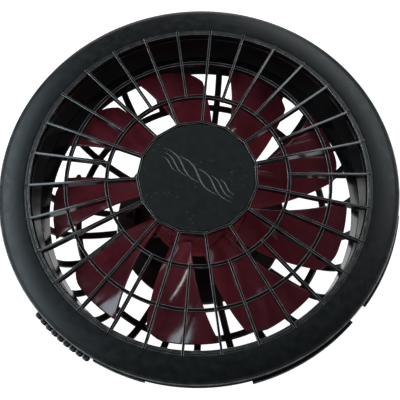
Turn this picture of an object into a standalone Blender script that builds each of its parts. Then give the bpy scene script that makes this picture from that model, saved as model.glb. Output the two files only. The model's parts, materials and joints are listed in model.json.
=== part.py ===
"""Solar attic fan: a round duct fan with a twist-lock front grille, a nine-blade impeller on a
brushed DC motor, and a bowl-shaped rear guard that carries the motor.

The fan's axis is world Z, the grille faces up, and the rear cover rests on z = 0.
Everything is in metres. Heights given to the helpers are measured from the bezel's face plane,
positive towards the front.
"""
import math

import bmesh
import bpy
from mathutils import Matrix, Vector

MM = 0.001

# ---------------------------------------------------------------- driving dimensions
FACE_HEIGHT = 119.0 * MM          # bezel face plane above the resting face

# front bezel
BEZEL_OUTER_R = 161.0 * MM
BEZEL_INNER_R = 137.6 * MM
COLLAR_R = 135.0 * MM             # inside of the bezel's collar
COLLAR_END = -36.5 * MM
SKIRT_END = -19.0 * MM
SKIRT_WALL = 2.2 * MM
ARC_TOP = -12.0 * MM
# raised arcs on the skirt: start and end in degrees, and how far they stand out
RAISED_ARCS = ((280.5, 312.0, 2.6 * MM), (318.0, 346.0, 2.6 * MM), (236.5, 251.5, 1.2 * MM))
GRIP_CENTRE = 225.7               # degrees
GRIP_PITCH = 2.18                 # degrees
GRIP_COUNT = 9
GRIP_R = 2.4 * MM
GRIP_TOP = -8.0 * MM

# bayonet between bezel and duct
HOOK_ANGLES = (33.0, 123.0, 213.0, 303.0)
HOOK_HALF = 5.0                   # degrees
NOTCH_HALF = 6.5
UNLOCK_TURN = 14.0

# front grille
RIB_COUNT = 30
RIB_PHASE = 81.3                  # angle of one long rib
RIB_WIDTH = 1.9 * MM
RIB_DEPTH = 6.5 * MM
OUTER_RING_R = 106.1 * MM
INNER_RING_R = 72.9 * MM
HUB_RING_R = 47.7 * MM
RING_WIDTH = 2.6 * MM
GRILLE_RIM_R = 136.4 * MM
DOME_RISE = 8.6 * MM

# duct
DUCT_FRONT_R = 134.7 * MM         # bore behind the collar
DUCT_REAR_R = 132.6 * MM
DUCT_REAR_OUTER_R = 136.8 * MM
DUCT_END = -61.0 * MM
FLANGE_R = 155.4 * MM
FOOT_R = 149.2 * MM
FOOT_END = -19.5 * MM
TUBE_INNER_R = 137.6 * MM         # front part of the tube, around the collar
TUBE_OUTER_R = 139.8 * MM
DUCT_SCREW_R = 137.3 * MM
DUCT_SCREW_ANGLES = (8.0, 98.0, 188.0, 278.0)
FLANGE_HOLE_R = 144.5 * MM

# rear guard
BAR_COUNT = 27
BAR_PHASE = -82.0
LONG_BAR_STEP = 3                 # every third bar runs on to the inner band
EXTRA_LONG_BARS = (19, 20, 17)    # bars of the cable side that also run on
HOOK_BAR = 18                     # its outer part is a cable hook
BAR_WIDTH = 6.0 * MM
GUARD_THICK = 3.4 * MM
GUARD_RING_R = 112.5 * MM
GUARD_RING_WIDTH = 6.0 * MM
GUARD_RIM_R = 133.2 * MM
BAND_OUTER_R = 78.5 * MM
BAND_INNER_R = 62.0 * MM
BAND_TOP = -102.7 * MM

# motor plate and rear cover
PLATE_R = 75.6 * MM
PLATE_TOP = -99.1 * MM
PLATE_THICK = 3.2 * MM
COVER_R = 77.4 * MM
COVER_SCREW_R = 69.0 * MM
COVER_SCREW_ANGLES = (50.0, 170.0, 290.0)
GROMMET_HEIGHT = -111.5 * MM
TERMINAL_HEIGHT = -112.2 * MM
TERMINAL_Y = 5.0 * MM             # lead entries either side of the middle
CLAMP_SCREW_R = 32.6 * MM
CLAMP_SCREW_ANGLES = (20.0, 140.0, 260.0)
MOTOR_SCREW_R = 14.0 * MM

# motor
CAN_R = 22.6 * MM
SHAFT_R = 4.0 * MM
SHAFT_THREAD_R = 3.0 * MM
TAB_X = 15.0 * MM                 # motor terminals either side of the axis
PIN_HEIGHT = -45.8 * MM           # drive pin across the shaft

# impeller
BLADE_COUNT = 9
BLADE_PHASE = -98.0               # angle of one blade's middle
HUB_R = 45.0 * MM
TIP_R = 125.5 * MM
BLADE_THICK = 2.0 * MM

GAP = 0.3 * MM
LARGE_STEPS = 60                  # facets round the large rings
MOTOR_STEPS = 20


# ---------------------------------------------------------------- scene and materials
def clear_scene():
    for obj in list(bpy.data.objects):
        bpy.data.objects.remove(obj, do_unlink=True)


def new_collection(name):
    collection = bpy.data.collections.new(name)
    bpy.context.scene.collection.children.link(collection)
    return collection


clear_scene()
PARTS = new_collection("solar_attic_fan")
CUTTERS = new_collection("cutters")


def material(name, colour, roughness, metallic=0.0):
    mat = bpy.data.materials.new(name)
    mat.use_nodes = True
    shader = mat.node_tree.nodes["Principled BSDF"]
    shader.inputs["Base Color"].default_value = (*colour, 1.0)
    shader.inputs["Roughness"].default_value = roughness
    shader.inputs["Metallic"].default_value = metallic
    return mat


def black_plastic(name, roughness=0.4):
    return material(name, (0.012, 0.014, 0.016), roughness)


def steel(name, roughness=0.3):
    return material(name, (0.55, 0.56, 0.58), roughness, 1.0)


# ---------------------------------------------------------------- shape helpers
def polar(radius, degrees, height=0.0):
    """Point at a radius, an angle and a height above the bezel's face plane."""
    angle = math.radians(degrees)
    return Vector((radius * math.cos(angle), radius * math.sin(angle), FACE_HEIGHT + height))


def on_axis(x, height, y=0.0):
    """Point beside the fan's axis, at a height above the face plane."""
    return Vector((x, y, FACE_HEIGHT + height))


def add_object(name, mesh, collection, mat=None):
    obj = bpy.data.objects.new(name, mesh)
    collection.objects.link(obj)
    if mat is not None:
        mesh.materials.append(mat)
    if collection is CUTTERS:
        obj.hide_render = True
        obj.display_type = "WIRE"
    return obj


def mesh_from(bm, name, smooth=True):
    bmesh.ops.recalc_face_normals(bm, faces=bm.faces)
    mesh = bpy.data.meshes.new(name)
    bm.to_mesh(mesh)
    bm.free()
    if smooth:
        mesh.shade_smooth()
        mesh.set_sharp_from_angle(angle=math.radians(35.0))
    return mesh


def turned(name, outline, mat, steps=LARGE_STEPS, closed=True):
    """Ring or solid turned round the fan's axis. The outline is (radius, height) pairs that run
    down the outer side; an open outline starts and ends on the axis."""
    bm = bmesh.new()
    verts = [bm.verts.new(polar(radius, 0.0, height)) for radius, height in outline]
    for first, second in zip(verts, verts[1:]):
        bm.edges.new((first, second))
    if closed:
        bm.edges.new((verts[-1], verts[0]))
    mesh = bpy.data.meshes.new(name)
    bm.to_mesh(mesh)
    bm.free()
    obj = add_object(name, mesh, PARTS, mat)
    screw = obj.modifiers.new("turn", "SCREW")
    screw.steps = steps
    screw.render_steps = steps
    screw.use_merge_vertices = True
    screw.merge_threshold = 0.00001
    screw.use_smooth_shade = True
    return obj


def add_cylinder(bm, radius, bottom, top, centre=(0.0, 0.0), steps=10):
    """Upright cylinder between two heights, added to a bmesh."""
    place = Matrix.Translation((centre[0], centre[1], FACE_HEIGHT + (bottom + top) / 2))
    bmesh.ops.create_cone(bm, cap_ends=True, segments=steps, radius1=radius, radius2=radius,
                          depth=top - bottom, matrix=place)


def add_cross_cylinder(bm, radius, length, middle, steps):
    """Cylinder along X about its middle point, with a flat and not an edge at its top."""
    place = (Matrix.Translation(middle) @ Matrix.Rotation(math.pi / 2, 4, "Y")
             @ Matrix.Rotation(math.pi / steps, 4, "Z"))
    bmesh.ops.create_cone(bm, cap_ends=True, segments=steps, radius1=radius, radius2=radius,
                          depth=length, matrix=place)


def add_box(bm, size, middle, turn=0.0):
    """Box about its middle point, turned about the vertical by some degrees."""
    place = Matrix.Translation(middle) @ Matrix.Rotation(math.radians(turn), 4, "Z")
    bmesh.ops.create_cube(bm, size=1.0, matrix=place @ Matrix.Diagonal((*size, 1.0)))


def add_sector(bm, inner, outer, bottom, top, start, end, facet=6.0):
    """Block of a ring between two angles, in degrees."""
    steps = max(2, round((end - start) / facet))
    corners = [(inner, bottom), (outer, bottom), (outer, top), (inner, top)]
    face = bm.faces.new([bm.verts.new(polar(radius, start, height)) for radius, height in corners])
    bmesh.ops.spin(bm, geom=[face, *face.edges, *face.verts], cent=(0.0, 0.0, 0.0),
                   axis=(0.0, 0.0, 1.0), angle=math.radians(end - start), steps=steps)


def boolean(obj, fill, operation):
    """Join or cut with a new object whose solids fill(bm) adds."""
    bm = bmesh.new()
    fill(bm)
    tool = add_object(f"{obj.name}_{operation.lower()}_{len(obj.modifiers)}",
                      mesh_from(bm, f"{obj.name}_tool", smooth=False), CUTTERS)
    boolean_with(obj, tool, operation)


def boolean_with(obj, tool, operation):
    modifier = obj.modifiers.new(operation.lower(), "BOOLEAN")
    modifier.operation = operation
    modifier.solver = "EXACT"
    modifier.object = tool


def xy(radius, degrees):
    """Plan position at a radius and an angle."""
    return polar(radius, degrees).to_2d()


def solid_sheet(name, bm, thickness, mat):
    """Closed solid from an open sheet, thickened on its rear side."""
    for face in bm.faces:
        face.normal_update()
        if face.normal.z < 0.0:
            face.normal_flip()
    mesh = bpy.data.meshes.new(name)
    bm.to_mesh(mesh)
    bm.free()
    obj = add_object(name, mesh, PARTS, mat)
    thicken = obj.modifiers.new("thickness", "SOLIDIFY")
    thicken.thickness = thickness
    thicken.offset = -1.0
    return obj


class Spokes:
    """Open sheet of rings and spokes whose surface is a height for every radius."""

    def __init__(self, count, phase, width, height):
        self.bm = bmesh.new()
        self.count = count
        self.phase = phase
        self.width = width
        self.height = height
        self.edges = {}

    def edge(self, radius):
        """Corners where the spokes meet a circle, two for each spoke."""
        if radius not in self.edges:
            half = math.degrees(math.asin(self.width / 2 / radius))
            pairs = []
            for index in range(self.count):
                middle = self.phase + index * 360.0 / self.count
                pairs.append([self.bm.verts.new(polar(radius, middle + side, self.height(radius)))
                              for side in (-half, half)])
            self.edges[radius] = pairs
        return self.edges[radius]

    def ring(self, inner, outer, between=1):
        """Flat band between two circles, with extra corners between the spokes."""
        low, high = self.edge(inner), self.edge(outer)
        for index in range(self.count):
            following = (index + 1) % self.count
            middle = self.phase + (index + 0.5) * 360.0 / self.count
            rows = [[low[index][0], low[index][1]], [high[index][0], high[index][1]]]
            for row, radius in zip(rows, (inner, outer)):
                half = math.degrees(math.asin(self.width / 2 / radius))
                span = 180.0 / self.count - half
                for extra in range(1, between + 1):
                    angle = middle + span * (2 * extra / (between + 1) - 1)
                    row.append(self.bm.verts.new(polar(radius, angle, self.height(radius))))
            rows[0].append(low[following][0])
            rows[1].append(high[following][0])
            for corner in range(len(rows[0]) - 1):
                self.bm.faces.new((rows[0][corner], rows[0][corner + 1],
                                   rows[1][corner + 1], rows[1][corner]))

    def spoke(self, index, radii):
        """Strip along one spoke through a list of radii."""
        middle = self.phase + index * 360.0 / self.count
        rows = []
        for radius in radii:
            if radius in self.edges:
                rows.append(self.edge(radius)[index])
            else:
                half = math.degrees(math.asin(self.width / 2 / radius))
                rows.append([self.bm.verts.new(polar(radius, middle + side, self.height(radius)))
                             for side in (-half, half)])
        for lower, upper in zip(rows, rows[1:]):
            self.bm.faces.new((lower[0], lower[1], upper[1], upper[0]))


def spread(start, end, count):
    """Evenly spaced values from start to end, both included."""
    return [start + (end - start) * index / count for index in range(count + 1)]


# ---------------------------------------------------------------- front bezel
def make_front_bezel():
    outer, inner = BEZEL_OUTER_R, BEZEL_INNER_R
    skirt_inner = outer - SKIRT_WALL
    outline = [
        (inner, 0.0), (outer - 4.2 * MM, -1.5 * MM), (outer - 1.4 * MM, -2.6 * MM),
        (outer, -5.4 * MM), (outer, SKIRT_END),
        (skirt_inner, SKIRT_END), (skirt_inner, -7.6 * MM), (outer - 4.8 * MM, -4.2 * MM),
        (inner + 1.8 * MM, -2.8 * MM), (inner + 1.8 * MM, -8.4 * MM),
        (COLLAR_R + 2.2 * MM, -9.4 * MM), (COLLAR_R + 2.2 * MM, COLLAR_END),
        (COLLAR_R, COLLAR_END), (COLLAR_R, -6.6 * MM), (inner, -6.6 * MM),
    ]
    bezel = turned("front_bezel", outline, black_plastic("bezel_plastic", 0.45))
    overlap = 1.0 * MM

    def hooks(bm):
        for angle in HOOK_ANGLES:
            add_sector(bm, 151.2 * MM, skirt_inner + overlap, -16.2 * MM, -13.6 * MM,
                       angle - HOOK_HALF, angle + HOOK_HALF)

    def arcs(bm):
        for start, end, proud in RAISED_ARCS:
            for turn in (0.0, 180.0):
                add_sector(bm, outer - overlap, outer + proud, SKIRT_END + 0.2 * MM, ARC_TOP,
                           start + turn, end + turn)

    def grips(bm):
        for turn in (0.0, 180.0):
            for index in range(GRIP_COUNT):
                angle = GRIP_CENTRE + turn + (index - (GRIP_COUNT - 1) / 2) * GRIP_PITCH
                add_cylinder(bm, GRIP_R, SKIRT_END + 0.4 * MM, GRIP_TOP,
                             xy(outer + 1.5 * MM, angle), steps=8)

    boolean(bezel, hooks, "UNION")
    boolean(bezel, arcs, "UNION")
    boolean(bezel, grips, "UNION")


# ---------------------------------------------------------------- front grille and badge
def dome(radius):
    """Height of the grille's face: highest at the centre, level with the bezel at the rim."""
    share = min(1.0, radius / GRILLE_RIM_R)
    return 0.5 * MM + DOME_RISE * (1.0 - share * share) ** 1.25


def make_front_grille():
    grille = Spokes(RIB_COUNT, RIB_PHASE, RIB_WIDTH, dome)
    half = RING_WIDTH / 2
    rim = (GRILLE_RIM_R - 0.7 * MM, GRILLE_RIM_R + 0.7 * MM)
    outer = (OUTER_RING_R - half, OUTER_RING_R + half)
    inner = (INNER_RING_R - half, INNER_RING_R + half)
    hub = (HUB_RING_R - 0.9 * MM, HUB_RING_R + 0.9 * MM)
    for band, between in ((rim, 1), (outer, 1), (inner, 0), (hub, 0)):
        grille.ring(*band, between)
    for index in range(RIB_COUNT):
        grille.spoke(index, spread(rim[0], outer[1], 2))
        grille.spoke(index, spread(outer[0], inner[1], 2))
        if index % 2 == 0:
            grille.spoke(index, [inner[0], hub[1]])
    solid_sheet("front_grille", grille.bm, RIB_DEPTH, black_plastic("grille_plastic", 0.35))


def make_centre_badge():
    rim = HUB_RING_R - 1.7 * MM
    top = dome(HUB_RING_R) + 0.3 * MM
    below_ring = dome(HUB_RING_R) - RIB_DEPTH - 0.4 * MM
    outline = [
        (0.0, top), (rim - 1.2 * MM, top), (rim - 0.3 * MM, top - 0.3 * MM), (rim, top - 1.2 * MM),
        (rim, below_ring), (rim + 1.2 * MM, below_ring - 0.7 * MM), (rim, below_ring - 1.9 * MM),
        (rim - 2.0 * MM, below_ring - 1.9 * MM), (rim - 2.0 * MM, top - 2.4 * MM),
        (0.0, top - 2.4 * MM),
    ]
    turned("centre_badge", outline, black_plastic("badge_plastic", 0.6), steps=40,
           closed=False)


# ---------------------------------------------------------------- duct housing and gasket
def make_duct_housing():
    flange_top, flange_bottom = -10.5 * MM, -13.1 * MM
    outline = [
        (TUBE_INNER_R, flange_top), (FLANGE_R, flange_top), (FLANGE_R, flange_bottom),
        (FOOT_R, flange_bottom), (FOOT_R, FOOT_END), (TUBE_OUTER_R, FOOT_END),
        (TUBE_OUTER_R, -39.0 * MM), (DUCT_REAR_OUTER_R, -41.0 * MM),
        (DUCT_REAR_OUTER_R, DUCT_END), (DUCT_REAR_R, DUCT_END),
        (DUCT_FRONT_R, -37.0 * MM), (TUBE_INNER_R, -37.0 * MM),
    ]
    duct = turned("duct_housing", outline, black_plastic("duct_plastic", 0.15))

    def bosses_and_stops(bm):
        for angle in DUCT_SCREW_ANGLES:
            add_cylinder(bm, 3.4 * MM, DUCT_END, -39.5 * MM, xy(DUCT_SCREW_R, angle))
        for angle in HOOK_ANGLES:
            for edge in (angle - 8.0, angle + UNLOCK_TURN + HOOK_HALF + 0.25):
                add_sector(bm, FOOT_R - 1.0 * MM, 153.6 * MM, -16.0 * MM, flange_bottom + 1.0 * MM,
                           edge, edge + 2.75)

    def holes_and_notches(bm):
        for angle in DUCT_SCREW_ANGLES:
            add_cylinder(bm, 1.75 * MM, DUCT_END - 1.0 * MM, -49.0 * MM, xy(DUCT_SCREW_R, angle))
        for angle in HOOK_ANGLES:
            middle = angle + UNLOCK_TURN
            add_sector(bm, 150.6 * MM, FLANGE_R + 2.0 * MM, flange_bottom - 0.5 * MM,
                       flange_top + 1.0 * MM, middle - NOTCH_HALF, middle + NOTCH_HALF)
            add_cylinder(bm, 2.2 * MM, FOOT_END - 1.0 * MM, flange_top + 1.0 * MM,
                         xy(FLANGE_HOLE_R, angle - 30.0))

    boolean(duct, bosses_and_stops, "UNION")
    boolean(duct, holes_and_notches, "DIFFERENCE")


def make_flange_gasket():
    top, bottom = FOOT_END - GAP, FOOT_END - 3.3 * MM
    outline = [(141.6 * MM, top), (FOOT_R - 0.4 * MM, top), (FOOT_R - 0.4 * MM, bottom),
               (141.6 * MM, bottom)]
    gasket = turned("flange_gasket", outline, material("gasket_foam", (0.03, 0.03, 0.03), 0.95),
                    steps=48)

    def holes(bm):
        for angle in HOOK_ANGLES:
            add_cylinder(bm, 2.2 * MM, bottom - 1.0 * MM, top + 1.0 * MM,
                         xy(FLANGE_HOLE_R, angle - 30.0))

    boolean(gasket, holes, "DIFFERENCE")


# ---------------------------------------------------------------- rear guard
def guard_point(t):
    """Point (radius, height) on the bowl's section, from the rim band at 0 to the inner band at 1."""
    start = Vector((GUARD_RIM_R, -61.4 * MM))
    pull = Vector((126.0 * MM, -98.4 * MM))
    end = Vector((BAND_OUTER_R, BAND_TOP))
    return start * (1 - t) ** 2 + pull * 2 * t * (1 - t) + end * t * t


def guard_height(radius):
    """Height of the bowl at a radius, level over the rim band and the inner band."""
    if radius >= GUARD_RIM_R:
        return guard_point(0.0).y
    if radius <= BAND_OUTER_R:
        return BAND_TOP
    low, high = 0.0, 1.0
    for _ in range(40):
        middle = (low + high) / 2
        if guard_point(middle).x > radius:
            low = middle
        else:
            high = middle
    return guard_point(low).y


def make_rear_guard():
    guard = Spokes(BAR_COUNT, BAR_PHASE, BAR_WIDTH, guard_height)
    rim = (GUARD_RIM_R, 140.6 * MM)
    half = GUARD_RING_WIDTH / 2
    ring = (GUARD_RING_R - half, GUARD_RING_R + half)
    band = (BAND_INNER_R, BAND_OUTER_R)
    for circle, between in ((rim, 1), (ring, 0), (band, 0)):
        guard.ring(*circle, between)
    outside = [GUARD_RIM_R, 131.2 * MM, 127.0 * MM, 120.5 * MM, ring[1]]
    for index in range(BAR_COUNT):
        if index == HOOK_BAR:
            guard.spoke(index, outside[-2:])
        else:
            guard.spoke(index, outside)
        if index % LONG_BAR_STEP == 0 or index in EXTRA_LONG_BARS:
            guard.spoke(index, spread(ring[0], band[1], 2))
    mat = black_plastic("guard_plastic", 0.35)
    obj = solid_sheet("rear_guard", guard.bm, GUARD_THICK, mat)

    def holes(bm):
        for angle in DUCT_SCREW_ANGLES:
            add_cylinder(bm, 1.75 * MM, -70.0 * MM, -58.0 * MM, xy(DUCT_SCREW_R, angle))
        for angle in COVER_SCREW_ANGLES:
            add_cylinder(bm, 1.75 * MM, -110.0 * MM, -98.0 * MM, xy(COVER_SCREW_R, angle))

    boolean(obj, holes, "DIFFERENCE")


# ---------------------------------------------------------------- motor plate, cover and fittings
def make_motor_plate():
    bottom = PLATE_TOP - PLATE_THICK
    cup_inner, cup_outer, cup_top = 26.4 * MM, 29.2 * MM, -80.0 * MM
    outline = [
        (cup_inner, cup_top), (cup_outer, cup_top), (cup_outer, PLATE_TOP),
        (PLATE_R - 1.0 * MM, PLATE_TOP),
        (PLATE_R, PLATE_TOP - 1.0 * MM), (PLATE_R, bottom), (9.0 * MM, bottom),
        (9.0 * MM, PLATE_TOP), (cup_inner, PLATE_TOP),
    ]
    plate = turned("motor_plate", outline, black_plastic("plate_plastic", 0.4), steps=40)

    def posts(bm):
        for angle in CLAMP_SCREW_ANGLES:
            add_cylinder(bm, 4.2 * MM, PLATE_TOP - 1.0 * MM, cup_top, xy(CLAMP_SCREW_R, angle))
        for angle in COVER_SCREW_ANGLES:
            add_cylinder(bm, 3.6 * MM, PLATE_TOP - 1.0 * MM, PLATE_TOP + 4.0 * MM,
                         xy(COVER_SCREW_R, angle))

    def holes(bm):
        for angle in CLAMP_SCREW_ANGLES:
            add_cylinder(bm, 1.75 * MM, cup_top - 12.0 * MM, cup_top + 1.0 * MM,
                         xy(CLAMP_SCREW_R, angle))
        for angle in COVER_SCREW_ANGLES:
            add_cylinder(bm, 1.75 * MM, bottom - 1.0 * MM, PLATE_TOP + 2.5 * MM,
                         xy(COVER_SCREW_R, angle))
        for angle in (90.0, 270.0):
            add_cylinder(bm, 1.75 * MM, bottom - 1.0 * MM, PLATE_TOP + 1.0 * MM,
                         xy(MOTOR_SCREW_R, angle))
        for side in (-1.0, 1.0):
            add_box(bm, (3.0 * MM, 8.0 * MM, 12.0 * MM), on_axis(side * TAB_X, PLATE_TOP))

    boolean(plate, posts, "UNION")
    boolean(plate, holes, "DIFFERENCE")


def make_rear_cover():
    top = BAND_TOP - GUARD_THICK - GAP
    rear = -FACE_HEIGHT
    outline = [
        (0.0, rear + 2.4 * MM), (COVER_R - 2.2 * MM, rear + 2.4 * MM), (COVER_R - 2.2 * MM, top),
        (COVER_R, top), (COVER_R, rear + 2.6 * MM), (COVER_R - 0.8 * MM, rear + 0.8 * MM),
        (COVER_R - 2.8 * MM, rear), (0.0, rear),
    ]
    cover = turned("rear_cover", outline, black_plastic("cover_plastic", 0.4), steps=44,
                   closed=False)

    def posts(bm):
        for angle in COVER_SCREW_ANGLES:
            add_cylinder(bm, 4.6 * MM, rear + 1.2 * MM, top, xy(COVER_SCREW_R, angle), steps=16)

    def bores(bm):
        for angle in COVER_SCREW_ANGLES:
            add_cylinder(bm, 1.75 * MM, rear - 1.0 * MM, top + 1.0 * MM, xy(COVER_SCREW_R, angle))
        add_cross_cylinder(bm, 4.3 * MM, 12.0 * MM, polar(-COVER_R, 0.0, GROMMET_HEIGHT), steps=16)

    def counterbores(bm):
        for angle in COVER_SCREW_ANGLES:
            add_cylinder(bm, 3.2 * MM, rear - 1.0 * MM, rear + 2.6 * MM, xy(COVER_SCREW_R, angle))

    boolean(cover, posts, "UNION")
    boolean(cover, bores, "DIFFERENCE")
    boolean(cover, counterbores, "DIFFERENCE")


def lay_along_x(obj, x, height):
    """Turn an object modelled round its own Z so that its axis points along -X."""
    obj.rotation_euler = (0.0, -math.pi / 2, 0.0)
    obj.location = (x, 0.0, FACE_HEIGHT + height)


def local_outline(outline):
    """Outline for an object placed by its location: its heights start at its own origin."""
    return [(radius, height - FACE_HEIGHT) for radius, height in outline]


def make_cable_grommet():
    outline = [
        (3.2 * MM, 1.8 * MM), (5.1 * MM, 1.8 * MM), (5.1 * MM, 0.4 * MM), (3.9 * MM, 0.4 * MM),
        (3.9 * MM, -2.8 * MM), (4.8 * MM, -2.8 * MM), (4.8 * MM, -4.2 * MM), (3.2 * MM, -4.2 * MM),
    ]
    rubber = material("grommet_rubber", (0.02, 0.02, 0.02), 0.8)
    grommet = turned("cable_grommet", local_outline(outline), rubber, steps=16)
    lay_along_x(grommet, -COVER_R, GROMMET_HEIGHT)


def make_terminal_block():
    bm = bmesh.new()
    add_box(bm, (12.0 * MM, 20.0 * MM, 8.0 * MM), on_axis(-40.0 * MM, TERMINAL_HEIGHT))
    block = add_object("terminal_block", mesh_from(bm, "terminal_block", smooth=False), PARTS,
                       material("terminal_plastic", (0.75, 0.74, 0.70), 0.5))

    def entries(bm):
        for side in (-1.0, 1.0):
            for x in (-46.0 * MM, -34.0 * MM):
                add_box(bm, (8.0 * MM, 4.2 * MM, 4.2 * MM),
                        on_axis(x, TERMINAL_HEIGHT, side * TERMINAL_Y))

    boolean(block, entries, "DIFFERENCE")


def make_motor_sleeve():
    outline = [(23.0 * MM, -80.3 * MM), (26.0 * MM, -80.3 * MM), (26.0 * MM, -98.7 * MM),
               (23.0 * MM, -98.7 * MM)]
    turned("motor_sleeve", outline, material("sleeve_rubber", (0.03, 0.03, 0.03), 0.85), steps=32)


def make_motor_clamp():
    outline = [(23.2 * MM, -77.6 * MM), (37.4 * MM, -77.6 * MM), (37.4 * MM, -79.7 * MM),
               (23.2 * MM, -79.7 * MM)]
    clamp = turned("motor_clamp", outline, black_plastic("clamp_plastic", 0.4), steps=32)

    def holes(bm):
        for angle in CLAMP_SCREW_ANGLES:
            add_cylinder(bm, 1.75 * MM, -82.0 * MM, -75.0 * MM, xy(CLAMP_SCREW_R, angle))

    boolean(clamp, holes, "DIFFERENCE")


# ---------------------------------------------------------------- motor
def make_motor_can():
    outline = [
        (5.5 * MM, -49.4 * MM), (9.0 * MM, -49.4 * MM), (9.0 * MM, -53.6 * MM),
        (CAN_R - 1.2 * MM, -53.6 * MM), (CAN_R, -54.8 * MM), (CAN_R, -92.6 * MM),
        (CAN_R - 1.6 * MM, -92.6 * MM), (CAN_R - 1.6 * MM, -55.4 * MM), (7.5 * MM, -55.4 * MM),
        (7.5 * MM, -50.5 * MM), (5.5 * MM, -50.5 * MM),
    ]
    turned("motor_can", outline, steel("can_steel"), steps=MOTOR_STEPS)


def make_end_bell():
    outline = [
        (7.5 * MM, -92.9 * MM), (CAN_R - 0.1 * MM, -92.9 * MM), (CAN_R - 0.1 * MM, -98.8 * MM),
        (5.0 * MM, -98.8 * MM), (5.0 * MM, -97.6 * MM), (7.5 * MM, -97.6 * MM),
    ]
    bell = turned("end_bell", outline, material("end_bell_plastic", (0.05, 0.05, 0.05), 0.5),
                  steps=MOTOR_STEPS)

    def holes(bm):
        for angle in (90.0, 270.0):
            add_cylinder(bm, 1.75 * MM, -99.8 * MM, -94.0 * MM, xy(MOTOR_SCREW_R, angle))
        for side in (-1.0, 1.0):
            add_box(bm, (1.6 * MM, 5.6 * MM, 5.0 * MM), on_axis(side * TAB_X, -97.0 * MM))

    boolean(bell, holes, "DIFFERENCE")


def make_bearings():
    bronze = material("bearing_bronze", (0.55, 0.38, 0.18), 0.35, 1.0)
    for name, top, bottom in (("front_bearing", -50.8 * MM, -55.2 * MM),
                              ("rear_bearing", -93.2 * MM, -97.3 * MM)):
        turned(name, [(4.35 * MM, top), (7.1 * MM, top), (7.1 * MM, bottom), (4.35 * MM, bottom)],
               bronze, steps=MOTOR_STEPS)


def make_magnets():
    for name, middle in (("magnet_left", 180.0), ("magnet_right", 0.0)):
        bm = bmesh.new()
        add_sector(bm, 17.9 * MM, 20.6 * MM, -84.0 * MM, -62.0 * MM, middle - 65.0, middle + 65.0, 13.0)
        add_object(name, mesh_from(bm, name), PARTS, material(f"{name}_ferrite", (0.10, 0.10, 0.11), 0.6))


def make_brushes():
    height = -89.6 * MM
    for name, side in (("left", -1.0), ("right", 1.0)):
        bm = bmesh.new()
        add_box(bm, (6.0 * MM, 4.0 * MM, 2.8 * MM), on_axis(side * 10.9 * MM, height))
        add_object(f"brush_{name}", mesh_from(bm, f"brush_{name}", smooth=False), PARTS,
                   material(f"brush_{name}_carbon", (0.05, 0.05, 0.05), 0.6))
        holder_middle = on_axis(side * 14.9 * MM, height)
        bm = bmesh.new()
        add_box(bm, (10.6 * MM, 6.8 * MM, 5.4 * MM), holder_middle)
        mesh = mesh_from(bm, f"brush_holder_{name}", smooth=False)
        holder = add_object(f"brush_holder_{name}", mesh, PARTS,
                            material(f"holder_{name}_brass", (0.70, 0.52, 0.22), 0.35, 1.0))

        def channel(tool):
            add_box(tool, (14.0 * MM, 4.7 * MM, 3.5 * MM), holder_middle)

        boolean(holder, channel, "DIFFERENCE")


def make_motor_tabs():
    for name, side in (("left", -1.0), ("right", 1.0)):
        bm = bmesh.new()
        add_box(bm, (0.8 * MM, 4.8 * MM, 12.0 * MM), on_axis(side * TAB_X, -101.0 * MM))
        add_object(f"motor_tab_{name}", mesh_from(bm, f"motor_tab_{name}", smooth=False), PARTS,
                   material(f"tab_{name}_brass", (0.72, 0.60, 0.30), 0.3, 1.0))


def make_shaft():
    outline = [
        (0.0, -18.0 * MM), (SHAFT_THREAD_R - 0.5 * MM, -18.0 * MM), (SHAFT_THREAD_R, -18.5 * MM),
        (SHAFT_THREAD_R, -27.8 * MM), (SHAFT_R, -27.8 * MM), (SHAFT_R, -98.0 * MM), (0.0, -98.0 * MM),
    ]
    shaft = turned("motor_shaft", outline, steel("shaft_steel", 0.2), steps=MOTOR_STEPS, closed=False)

    def cross_hole(bm):
        add_cross_cylinder(bm, 1.6 * MM, 12.0 * MM, on_axis(0.0, PIN_HEIGHT), steps=12)

    boolean(shaft, cross_hole, "DIFFERENCE")
    outline = [(0.0, 6.5 * MM), (1.25 * MM, 6.5 * MM), (1.25 * MM, -6.5 * MM), (0.0, -6.5 * MM)]
    pin = turned("drive_pin", local_outline(outline), steel("pin_steel"), steps=12, closed=False)
    lay_along_x(pin, 0.0, PIN_HEIGHT)


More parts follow.
